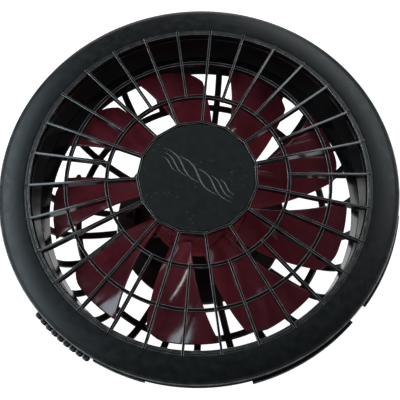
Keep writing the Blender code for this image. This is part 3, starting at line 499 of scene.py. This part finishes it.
def rib_depth(radius):
    """The ribs deepen towards the rim, and step back where they pass over the collar."""
    deepened = RIB_DEPTH + 1.9 * min(1.0, max(0.0, (radius - 55.0) / 60.0))
    return RIB_DEPTH + (deepened - RIB_DEPTH) * min(1.0, max(0.0, (134.0 - radius) / 5.0))


def make_grille():
    bm = bmesh.new()
    for index in range(RIB_COUNT):
        degrees = RIB_PHASE + index * 360.0 / RIB_COUNT
        inner = HUB_RING_R if index % 2 == 0 else INNER_RING_R - 0.9
        radii = [inner + (GRILLE_RIM_R - inner) * step / RIB_STATIONS for step in range(RIB_STATIONS + 1)]
        depths = [rib_depth(radius) for radius in radii]
        rib(bm, degrees, [*radii, GRILLE_RIM_R + 0.6, GRILLE_RIM_R + 0.9, 139.4, 139.9],
            [*depths, depths[-1], 0.9, 0.9, 0.7])
    for radius in (OUTER_RING_R, INNER_RING_R):
        top = dome(radius) - 1.0          # the rings lie below the ribs' crests
        lathe(bm, [(radius + side, top - down) for side, down in crest_outline(RING_WIDTH, RING_DEPTH)])
    rim = [(GRILLE_RIM_R + side, dome(GRILLE_RIM_R) - 0.5 - down) for side, down in crest_outline(1.3, 5.0)]
    lathe(bm, rim)
    hub_top = dome(HUB_RING_R) + 0.1
    corners = []
    for index in range(0, RIB_COUNT, 2):
        degrees = RIB_PHASE + index * 360.0 / RIB_COUNT
        corners.append([bm.verts.new(at(HUB_RING_R + side, degrees, hub_top - down))
                        for side, down in crest_outline(1.8, 6.2)])
    ring_of_quads(bm, corners)
    finish_piece(new_object("grille", bm), "front_guard", "grille_plastic", "front_grille")


# ---------------------------------------------------------------- centre badge
def stroke(bm, path, width, height, base):
    """Tapered raised line along plan points, with a rounded back."""
    rows = []
    last = len(path) - 1
    for index, (x, y) in enumerate(path):
        ahead = Vector(path[min(index + 1, last)]) - Vector(path[max(index - 1, 0)])
        side = Vector((-ahead.y, ahead.x)).normalized()
        taper = max(0.06, math.sin(math.pi * index / last) ** 0.7)
        row = []
        for step in range(7):
            angle = math.pi * step / 6
            offset = side * (math.cos(angle) * width / 2 * taper)
            row.append(bm.verts.new((
                (x + offset.x) * MM, (y + offset.y) * MM,
                FACE + (base + math.sin(angle) * height * taper - (0.3 if step in (0, 6) else 0.0)) * MM)))
        rows.append(row)
    tube(bm, rows)


def gust(bm, across, start, end, bow, width, base):
    """One S-shaped line of the badge's wind motif, running from its upper left to its lower right."""
    path = []
    for step in range(33):
        share = step / 32
        along = start + (end - start) * share
        side = across + bow * math.sin((share - 0.5) * 2 * math.pi)
        path.append((along * 0.64 - side * 0.77, -along * 0.77 - side * 0.64))
    stroke(bm, path, width, MOTIF_RELIEF, base)


def make_badge():
    top = dome(HUB_RING_R) - 0.25         # low enough for the motif to stay under the CAD's top
    under = dome(HUB_RING_R) - RIB_DEPTH - 0.4
    shares = (0.0, 0.2, 0.4, 0.6, 0.8)
    face = [(BADGE_R * share, top + 0.2 * (1 - share * share), 0.0) for share in shares]
    outline = rounded([
        *face, (BADGE_R, top - 0.1, 0.9), (BADGE_R, under, 0.2), (BADGE_R + 1.1, under - 0.7, 0.2),
        (BADGE_R, under - 1.9, 0.2), (BADGE_R - 2.0, under - 1.9, 0.2), (BADGE_R - 2.0, top - 2.4, 0.3),
        (0.0, top - 2.4, 0.0),
    ])
    bm = bmesh.new()
    lathe(bm, outline, 160)
    finish_piece(new_object("badge", bm), "front_guard", "badge_plastic", "centre_badge")
    bm = bmesh.new()
    for across, start, end, bow, width in (
            (8.5, -33.0, -13.0, 1.2, 0.9), (5.4, -35.0, -4.0, 1.8, 1.1), (2.2, -36.0, 7.0, 2.6, 1.3),
            (-0.8, -24.0, 24.0, 3.2, 1.5), (-3.8, -6.0, 35.0, 2.6, 1.3), (-7.0, 5.0, 34.0, 1.8, 1.1),
            (-10.1, 14.0, 32.0, 1.2, 0.9)):
        gust(bm, across, start, end, bow, width, top + 0.1)
    motif = finish_piece(new_object("badge_motif", bm), "front_guard", "badge_plastic")
    motif.data.materials[0] = MATERIALS["badge_motif"]


# ---------------------------------------------------------------- duct and gasket
def make_duct():
    outline = rounded([
        (TUBE_INNER_R, FLANGE_TOP, 0.5), (FLANGE_R, FLANGE_TOP, 0.7), (FLANGE_R, FLANGE_BOTTOM, 0.7),
        (FOOT_R, FLANGE_BOTTOM, 0.8), (FOOT_R, FOOT_END, 0.5), (TUBE_OUTER_R, FOOT_END, 0.8),
        (TUBE_OUTER_R, -39.0, 0.8), (DUCT_REAR_OUTER_R, -41.0, 1.2), (DUCT_REAR_OUTER_R, DUCT_END, 0.4),
        (DUCT_REAR_R, DUCT_END, 0.6), (DUCT_FRONT_R, -37.0, 0.3), (TUBE_INNER_R, -37.0, 0.3),
    ])
    bm = bmesh.new()
    lathe(bm, outline, 300)
    duct = new_object("duct", bm)

    def bosses(bm):
        for angle in DUCT_SCREW_ANGLES:
            bottom, top = DUCT_END + 0.02, -39.6
            boss = rounded([(0.0, bottom, 0.0), (3.4, bottom, 0.3), (3.4, top, 1.2), (0.0, top, 0.0)])
            post(bm, Matrix.Translation(at(DUCT_SCREW_R, angle, 0.0)), boss)
        for angle in HOOK_ANGLES:
            for edge in (angle - 8.0, angle + UNLOCK_TURN + 5.25):
                stop = rounded([(148.2, -16.0, 0.0), (153.6, -16.0, 0.6), (153.6, -12.1, 0.0),
                                (148.2, -12.1, 0.0)])
                arc_block(bm, stop, edge, edge + 2.75, 0.7)

    def cuts(bm):
        for angle in DUCT_SCREW_ANGLES:
            rod(bm, DUCT_SCREW_R, angle, SCREW_HOLE_R, DUCT_END - 1.0, -49.0)
        for angle in HOOK_ANGLES:
            middle = angle + UNLOCK_TURN
            notch = [(150.6, -13.6), (158.0, -13.6), (158.0, -9.5), (150.6, -9.5)]
            arc_block(bm, notch, middle - 6.5, middle + 6.5)
            rod(bm, FLANGE_HOLE_R, angle + FLANGE_HOLE_TURN, FLANGE_HOLE_SIZE, FOOT_END - 1.0, -9.5)

    combine(duct, bosses)
    combine(duct, cuts, "DIFFERENCE")
    finish_piece(duct, "frame", "duct_plastic", "duct_housing")


def make_gasket():
    top = FOOT_END - GAP
    bottom, outer_r = top - GASKET_THICK, FOOT_R - 0.4
    bm = bmesh.new()
    lathe(bm, rounded([(GASKET_INNER_R, top, 0.4), (outer_r, top, 0.4), (outer_r, bottom, 0.5),
                       (GASKET_INNER_R, bottom, 0.5)], 3))
    gasket = new_object("gasket", bm)

    def holes(bm):
        for angle in HOOK_ANGLES:
            rod(bm, FLANGE_HOLE_R, angle + FLANGE_HOLE_TURN, FLANGE_HOLE_SIZE, bottom - 1.0, top + 1.0)

    combine(gasket, holes, "DIFFERENCE")
    finish_piece(gasket, "frame", "gasket_foam", "flange_gasket")


# ---------------------------------------------------------------- rear guard
def guard_point(t):
    """Point (radius, height) on the bowl's section, from the rim band at 0 to the inner band at 1."""
    start, end = Vector((GUARD_RIM_R, GUARD_TOP)), Vector((BAND_OUTER_R, BAND_TOP))
    pull = Vector((126.0, -98.4))
    return start * (1 - t) ** 2 + pull * 2 * t * (1 - t) + end * t * t


def guard_slope(t):
    step = 0.001
    return (guard_point(t + step) - guard_point(t - step)).normalized()


def guard_t(radius):
    """Place along the bowl's section where it has a radius."""
    low, high = 0.0, 1.0
    for _ in range(40):
        middle = (low + high) / 2
        low, high = (middle, high) if guard_point(middle).x > radius else (low, middle)
    return low


def bar(bm, degrees, start, end, count, swell=None):
    """Bar along the bowl's section between two places on it. swell(share) scales its section."""
    across = Vector((-math.sin(math.radians(degrees)), math.cos(math.radians(degrees)), 0.0))
    half, depth = BAR_WIDTH / 2, GUARD_THICK
    section = rounded([(-half, 0.0, 1.1), (half, 0.0, 1.1), (half, depth, 1.1), (-half, depth, 1.1)], 4)
    rows = []
    for step in range(count + 1):
        t = start + (end - start) * step / count
        slope = guard_slope(min(max(t, 0.002), 0.998))
        rear = Vector((slope.y, -slope.x))
        rear = rear if rear.y < 0.0 else -rear
        scale = swell(step / count) if swell else 1.0
        point = guard_point(t)
        rows.append([])
        for side, down in section:
            spot = point + rear * (depth / 2 + (down - depth / 2) * scale)
            rows[-1].append(bm.verts.new(at(spot.x, degrees, spot.y) + across * side * scale * MM))
    tube(bm, rows)


def hook_swell(share):
    """A stub that ends in a round knob."""
    knob = 1.0 - min(1.0, share / 0.35)
    return (1.0 + 0.45 * math.sin(math.pi * knob ** 0.8)) * (1.0 if share > 0.0 else 0.25)


def make_guard():
    rim_bottom, band_bottom = GUARD_TOP - GUARD_THICK, BAND_TOP - GUARD_THICK
    bm = bmesh.new()
    lathe(bm, rounded([(GUARD_RIM_R, GUARD_TOP, 0.5), (GUARD_RIM_OUTER_R, GUARD_TOP, 0.5),
                       (GUARD_RIM_OUTER_R, rim_bottom, 0.9), (GUARD_RIM_R, rim_bottom, 0.9)]))
    lathe(bm, rounded([(BAND_INNER_R, BAND_TOP, 0.6), (BAND_OUTER_R, BAND_TOP, 0.9),
                       (BAND_OUTER_R, band_bottom, 0.9), (BAND_INNER_R, band_bottom, 0.6)]))
    ring_t = guard_t(GUARD_RING_R)
    slope = guard_slope(ring_t)
    rear = Vector((slope.y, -slope.x))
    rear = rear if rear.y < 0.0 else -rear
    middle = guard_point(ring_t)
    corners = []
    half = GUARD_RING_HALF
    for along, down in ((-half, 0.0), (half, 0.0), (half, GUARD_THICK), (-half, GUARD_THICK)):
        spot = middle + slope * along + rear * down
        corners.append((spot.x, spot.y, 1.1))
    lathe(bm, rounded(corners))
    for index in range(BAR_COUNT):
        degrees = BAR_PHASE + index * 360.0 / BAR_COUNT
        if index == HOOK_BAR:
            bar(bm, degrees, guard_t(121.5), ring_t, 12, hook_swell)
        else:
            bar(bm, degrees, 0.012, ring_t, 14)
        if index in LONG_BARS:
            bar(bm, degrees, ring_t, 0.995, 8)
    finish_piece(new_object("guard", bm), "frame", "guard_plastic", "rear_guard")


# ---------------------------------------------------------------- motor plate, cover and fittings
def make_plate():
    bottom = PLATE_TOP - PLATE_THICK
    outline = rounded([
        (CUP_INNER_R, CUP_TOP, 0.5), (CUP_OUTER_R, CUP_TOP, 0.5), (CUP_OUTER_R, PLATE_TOP, 1.5),
        (BAND_INNER_R, PLATE_TOP, 0.8),
        (63.0, PLATE_TOP - 0.8, 0.8), (PLATE_R - 4.0, PLATE_TOP - 0.8, 0.8), (PLATE_R - 3.0, PLATE_TOP, 0.6),
        (PLATE_R, PLATE_TOP, 1.0), (PLATE_R, bottom, 0.4), (9.0, bottom, 0.3), (9.0, PLATE_TOP, 0.5),
        (CUP_INNER_R, PLATE_TOP, 0.3),
    ])
    bm = bmesh.new()
    lathe(bm, outline, 180)
    plate = new_object("plate", bm)

    def features(bm):
        for angle in CLAMP_SCREW_ANGLES:
            rod(bm, CLAMP_SCREW_R, angle, 4.2, PLATE_TOP - 1.0, CUP_TOP)
        for angle in COVER_SCREW_ANGLES:
            rod(bm, COVER_SCREW_R, angle, 3.6, PLATE_TOP - 2.0, PLATE_TOP + 4.0)
        for index in range(12):
            degrees = 15.0 + 30.0 * index
            block(bm, (29.0, 1.6, 3.4), at(44.5, degrees, PLATE_TOP + 0.2), degrees)

    def holes(bm):
        for angle in CLAMP_SCREW_ANGLES:
            rod(bm, CLAMP_SCREW_R, angle, SCREW_HOLE_R, CUP_TOP - 12.0, CUP_TOP + 1.0, HOLE_STEPS)
        for angle in COVER_SCREW_ANGLES:
            rod(bm, COVER_SCREW_R, angle, SCREW_HOLE_R, bottom - 1.0, PLATE_TOP + 2.5, HOLE_STEPS)
        for angle in MOTOR_SCREW_ANGLES:
            rod(bm, MOTOR_SCREW_R, angle, SCREW_HOLE_R, bottom - 1.0, PLATE_TOP + 1.0, HOLE_STEPS)
        for side in (-1.0, 1.0):
            block(bm, (3.0, 8.0, 12.0), at(TAB_X * side, 0.0, PLATE_TOP))

    combine(plate, features)
    combine(plate, holes, "DIFFERENCE")
    finish_piece(plate, "frame", "guard_plastic", "motor_plate")


def grommet_place(way):
    """The cable inlet's place in the cover's wall, with its axis in or out of the cover."""
    turn = Matrix.Rotation(way * math.pi / 2, 4, "Y")
    return Matrix.Translation(at(-COVER_R, 0.0, GROMMET_HEIGHT)) @ turn


def make_cover():
    top = BAND_TOP - GUARD_THICK - GAP
    inner_r, floor = COVER_R - COVER_WALL, REAR + COVER_FLOOR
    outline = rounded([
        (0.0, floor, 0.0), (inner_r, floor, 0.6), (inner_r, top, 0.4),
        (COVER_R, top, 0.5), (COVER_R, REAR, 2.4), (58.0, REAR, 0.4), (57.4, REAR + 0.6, 0.3),
        (55.2, REAR + 0.6, 0.3), (54.6, REAR, 0.4), (0.0, REAR, 0.0),
    ])
    bm = bmesh.new()
    lathe(bm, outline, 200)
    cover = new_object("cover", bm)

    def posts(bm):
        for angle in COVER_SCREW_ANGLES:
            rod(bm, COVER_SCREW_R, angle, 4.6, REAR + 1.2, top)

    def holes(bm):
        for angle in COVER_SCREW_ANGLES:
            rod(bm, COVER_SCREW_R, angle, SCREW_HOLE_R, REAR + 1.0, top + 1.0)
            rod(bm, COVER_SCREW_R, angle, 3.2, REAR - 1.0, REAR + 2.6)
        place = grommet_place(1.0)
        post(bm, place, [(0.0, -6.0), (4.3, -6.0), (4.3, 6.0), (0.0, 6.0)])

    combine(cover, posts)
    combine(cover, holes, "DIFFERENCE")
    finish_piece(cover, "frame", "cover_plastic", "rear_cover")


def make_grommet():
    bm = bmesh.new()
    post(bm, grommet_place(-1.0), rounded([(3.2, 1.8, 0.4), (5.1, 1.8, 0.6), (5.1, 0.4, 0.3), (3.9, 0.4, 0.1),
                                           (3.9, -2.8, 0.1), (4.8, -2.8, 0.3), (4.8, -4.2, 0.5),
                                           (3.2, -4.2, 0.4)], 4), 48)
    finish_piece(new_object("grommet", bm), "frame", "black_rubber", "cable_grommet")


def make_can():
    bm = bmesh.new()
    lathe(bm, rounded([(5.5, BOSS_TOP, 0.3), (9.0, BOSS_TOP, 0.8), (9.0, CAN_TOP, 0.8),
                       (CAN_R, CAN_TOP, 2.0), (CAN_R, CAN_BOTTOM, 0.3), (21.0, CAN_BOTTOM, 0.2),
                       (21.0, -55.2, 0.8), (7.5, -55.2, 0.2),
                       (7.5, -50.5, 0.3), (5.5, -50.5, 0.2)]), 96)
    finish_piece(new_object("can", bm), "frame", "can_steel", "motor_can")


def make_clamp():
    bm = bmesh.new()
    lathe(bm, rounded([(23.2, -77.6, 0.5), (37.4, -77.6, 0.7), (37.4, -79.7, 0.4), (23.2, -79.7, 0.3)]), 120)
    clamp = new_object("clamp", bm)

    def holes(bm):
        for angle in CLAMP_SCREW_ANGLES:
            rod(bm, CLAMP_SCREW_R, angle, SCREW_HOLE_R, -82.0, -75.0)

    combine(clamp, holes, "DIFFERENCE")
    finish_piece(clamp, "frame", "guard_plastic", "motor_clamp")


def make_sleeve():
    bm = bmesh.new()
    lathe(bm, rounded([(23.0, -80.3, 0.4), (26.0, -80.3, 0.4), (26.0, -98.7, 0.4), (23.0, -98.7, 0.4)]), 96)
    finish_piece(new_object("sleeve", bm), "frame", "black_rubber", "motor_sleeve")


# ---------------------------------------------------------------- impeller
def blade_place(chord, span):
    """Point on a blade's middle surface: chord 0 at its rear edge to 1 at its front edge."""
    root_r = HUB_R - 1.4
    corner = max(0.0, 1.0 - chord / 0.28)
    tip_r = TIP_R - 7.0 * corner * corner
    radius = root_r + (tip_r - root_r) * span
    share = (radius - root_r) / (TIP_R - root_r)
    rear_angle = -30.0 + 13.5 * share
    front_angle = -4.0 + 16.5 * share - share * share
    rear_height = -65.5 + 14.0 * share
    front_height = -29.5 - 8.5 * share
    bulge = 4.0 * (1.0 - 0.5 * share) * 4.0 * chord * (1.0 - chord)
    angle = rear_angle + (front_angle - rear_angle) * chord
    return radius, angle, rear_height + (front_height - rear_height) * chord + bulge


def edge_stations(rounding, count):
    """Places from 0 to 1 with more of them where an edge is rounded."""
    ends = [rounding * (1 - math.cos(math.pi / 2 * step / 4)) for step in range(5)]
    inside = [rounding + (1 - 2 * rounding) * step / count for step in range(1, count)]
    return ends + inside + [1 - value for value in reversed(ends)]


def roundness(place, rounding):
    """Share of the full thickness near an edge at 0."""
    share = min(1.0, max(0.0, place / rounding))
    return math.sqrt(max(0.0, 1.0 - (1.0 - share) ** 2))


def blade(bm, turn):
    """One blade as a closed solid, thicker at its root and rounded along its edges and tip."""
    chords = edge_stations(CHORD_EDGE, 14)
    spans = [step / 18 * (1 - TIP_EDGE) for step in range(19)]
    spans += [1 - TIP_EDGE * share for share in (0.6, 0.3, 0.1, 0.0)]
    rows = []
    for span in spans:
        front, back = [], []
        for chord in chords:
            here = at(*shifted(blade_place(chord, span), turn))
            along = (at(*shifted(blade_place(min(1.0, chord + 0.01), span), turn))
                     - at(*shifted(blade_place(max(0.0, chord - 0.01), span), turn)))
            out = (at(*shifted(blade_place(chord, min(1.0, span + 0.01)), turn))
                   - at(*shifted(blade_place(chord, max(0.0, span - 0.01)), turn)))
            normal = along.cross(out).normalized()
            swell = 1.0 + 1.3 * math.exp(-span * 80.0 / 2.6)
            half = BLADE_THICK / 2 * MM * swell * roundness(min(chord, 1 - chord), CHORD_EDGE)
            half *= roundness(1 - span, TIP_EDGE) if span > 1 - TIP_EDGE else 1.0
            front.append(here + normal * half)
            back.append(here - normal * half)
        loop = front + back[-2:0:-1]
        rows.append([bm.verts.new(point) for point in loop])
    tube(bm, rows)


def shifted(place, turn):
    radius, angle, height = place
    return radius, angle + turn, height


def make_impeller():
    bm = bmesh.new()
    lathe(bm, rounded([
        (3.4, -24.5, 0.2), (42.6, -24.5, 2.6), (HUB_R, -68.0, 0.5), (HUB_R - 2.2, -68.0, 0.5),
        (41.0, -27.8, 1.5), (8.2, -27.3, 0.8), (8.2, -47.8, 0.4), (4.3, -47.8, 0.3), (4.3, -27.5, 0.1),
        (3.4, -27.5, 0.1),
    ]), 180)
    impeller = new_object("blades_and_hub", bm)

    def blades(bm):
        for index in range(BLADE_COUNT):
            blade(bm, BLADE_PHASE + index * 360.0 / BLADE_COUNT)
        bmesh.ops.remove_doubles(bm, verts=bm.verts, dist=0.000002)

    def pin_slot(bm):
        block(bm, (20.0, 3.3, 6.0), at(0.0, 0.0, -47.0))

    combine(impeller, blades)
    combine(impeller, pin_slot, "DIFFERENCE")
    finish_piece(impeller, "rotor", "impeller_plastic", "impeller")


# ---------------------------------------------------------------- screws
def make_screw(node, radius, degrees, head, tip, upright):
    """Pan-head screw with a cross recess between its head's seat and its tip."""
    sign = 1.0 if upright else -1.0
    place = Matrix.Translation(at(radius, degrees, head)) @ Matrix.Diagonal((1.0, 1.0, sign, 1.0))
    length = abs(tip - head)
    bm = bmesh.new()
    post(bm, place, rounded([(0.0, 2.0, 0.0), (1.9, 1.9, 0.6), (2.8, 0.9, 0.5), (2.8, 0.0, 0.1),
                             (1.4, 0.0, 0.1), (1.4, -length + 0.8, 0.2), (0.6, -length, 0.1),
                             (0.0, -length, 0.0)], 4), 28)
    screw = new_object(node.replace("screw", "fixing"), bm)

    middle = at(radius, degrees, head + sign * 1.95)
    for turn in (25.0, 115.0):            # one slot at a time, because crossing cutters cut wrongly
        combine(screw, lambda bm: block(bm, (3.0, 0.7, 2.4), middle, turn + degrees), "DIFFERENCE")
    finish_piece(screw, "frame", "screw_steel", node)


def make_screws():
    guard_rear = GUARD_TOP - GUARD_THICK
    for index, angle in enumerate(DUCT_SCREW_ANGLES, start=1):
        make_screw(f"guard_screw_{index}", DUCT_SCREW_R, angle, guard_rear - GAP, -50.5, False)
    for index, angle in enumerate(COVER_SCREW_ANGLES, start=1):
        make_screw(f"cover_screw_{index}", COVER_SCREW_R, angle, -116.7, -98.0, False)
    for index, angle in enumerate(CLAMP_SCREW_ANGLES, start=1):
        make_screw(f"clamp_screw_{index}", CLAMP_SCREW_R, angle, -77.3, -91.0, True)


# ---------------------------------------------------------------- carried-over CAD nodes
def paint_cad_nodes():
    """Give the CAD nodes that are shown as they are the materials of their slots."""
    for part in frame["record"]["subparts"]:
        node = frame["nodes"][part["node"]]
        if node.hide_render:
            continue
        mat = MATERIALS[part["material_slot"]]
        if not node.data.materials:
            node.data.materials.append(mat)
        for index in range(len(node.material_slots)):
            node.material_slots[index].material = mat


# ---------------------------------------------------------------- floor, light and camera
def make_floor():
    bm = bmesh.new()
    bmesh.ops.create_grid(bm, x_segments=1, y_segments=1, size=4.0)
    floor = new_object("floor", bm)
    mat, nodes, links = node_material("pale_floor")
    shader = nodes["Principled BSDF"]
    shader.inputs["Base Color"].default_value = (0.50, 0.50, 0.50, 1.0)
    shader.inputs["Roughness"].default_value = 0.8
    shader.inputs["Emission Color"].default_value = (1.0, 1.0, 1.0, 1.0)
    shader.inputs["Emission Strength"].default_value = 0.92
    floor.data.materials.append(mat)
    floor.visible_glossy = False          # the gloss of the plastic mirrors the lights and not the floor


def area_light(name, place, size, power, colour, along=(1.0, 0.0), target=(0.0, 0.0, 0.1)):
    """Rectangular light that faces a target, with its first side along a level direction."""
    data = bpy.data.lights.new(name, "AREA")
    data.shape = "RECTANGLE"
    data.size, data.size_y = size
    data.energy = power
    data.color = colour
    light = bpy.data.objects.new(name, data)
    away = (Vector(place) - Vector(target)).normalized()
    level = Vector((*along, 0.0))
    first = (level - away * level.dot(away)).normalized()
    second = away.cross(first)
    light.matrix_world = Matrix((
        (first.x, second.x, away.x, place[0]), (first.y, second.y, away.y, place[1]),
        (first.z, second.z, away.z, place[2]), (0.0, 0.0, 0.0, 1.0)))
    bpy.context.scene.collection.objects.link(light)


def make_lights():
    area_light("left_window", (-0.64, 0.33, 1.12), (0.90, 0.24), 3.7, (0.74, 0.91, 1.0), along=(0.0, 1.0))
    area_light("right_window", (0.53, 0.72, 1.12), (0.95, 0.24), 2.6, (0.88, 0.96, 1.0), along=(-0.35, 0.94))
    area_light("back_strip", (0.0, 1.45, 0.60), (1.6, 0.22), 5.0, (0.97, 1.0, 1.0))
    area_light("left_strip", (-1.25, 0.10, 0.50), (1.50, 0.28), 13.0, (0.95, 0.98, 1.0), along=(0.0, 1.0))
    area_light("right_strip", (1.25, 0.10, 0.50), (1.50, 0.28), 7.5, (0.97, 0.99, 1.0), along=(0.0, 1.0))
    area_light("front_strip", (0.0, -1.30, 0.60), (1.6, 0.20), 1.6, (0.97, 0.98, 1.0))
    for side, name in ((-1.0, "under_glow_left"), (1.0, "under_glow_right")):
        area_light(name, (side * 0.121, -0.018, 0.0015), (0.11, 0.034), 0.008, (1.0, 1.0, 1.0),
                   along=(0.0, 1.0), target=(side * 0.121, -0.018, 1.0))
    world = bpy.data.worlds.new("studio")
    world.use_nodes = True
    background = world.node_tree.nodes["Background"]
    background.inputs["Color"].default_value = (0.88, 0.94, 1.0, 1.0)
    background.inputs["Strength"].default_value = 0.035
    bpy.context.scene.world = world


def make_camera():
    data = bpy.data.cameras.new("camera")
    data.lens = 64.1
    data.sensor_width = 36.0
    camera = bpy.data.objects.new("camera", data)
    place = Vector((0.0, -0.2124, 0.6502))
    target = Vector((0.0006, -0.0176, FACE))
    roll = math.radians(-4.204)
    forward = (target - place).normalized()
    level = forward.cross(Vector((0.0, 0.0, 1.0))).normalized()
    above = level.cross(forward)
    right = math.cos(roll) * level + math.sin(roll) * above
    up = math.cos(roll) * above - math.sin(roll) * level
    camera.matrix_world = Matrix((
        (right.x, up.x, -forward.x, place.x), (right.y, up.y, -forward.y, place.y),
        (right.z, up.z, -forward.z, place.z), (0.0, 0.0, 0.0, 1.0)))
    bpy.context.scene.collection.objects.link(camera)
    bpy.context.scene.camera = camera
    bpy.context.scene.view_settings.view_transform = "Standard"


make_camera()
make_bezel()
make_grille()
make_badge()
make_duct()
make_gasket()
make_guard()
make_plate()
make_cover()
make_grommet()
make_can()
make_clamp()
make_sleeve()
make_impeller()
make_screws()
paint_cad_nodes()
make_floor()
make_lights()
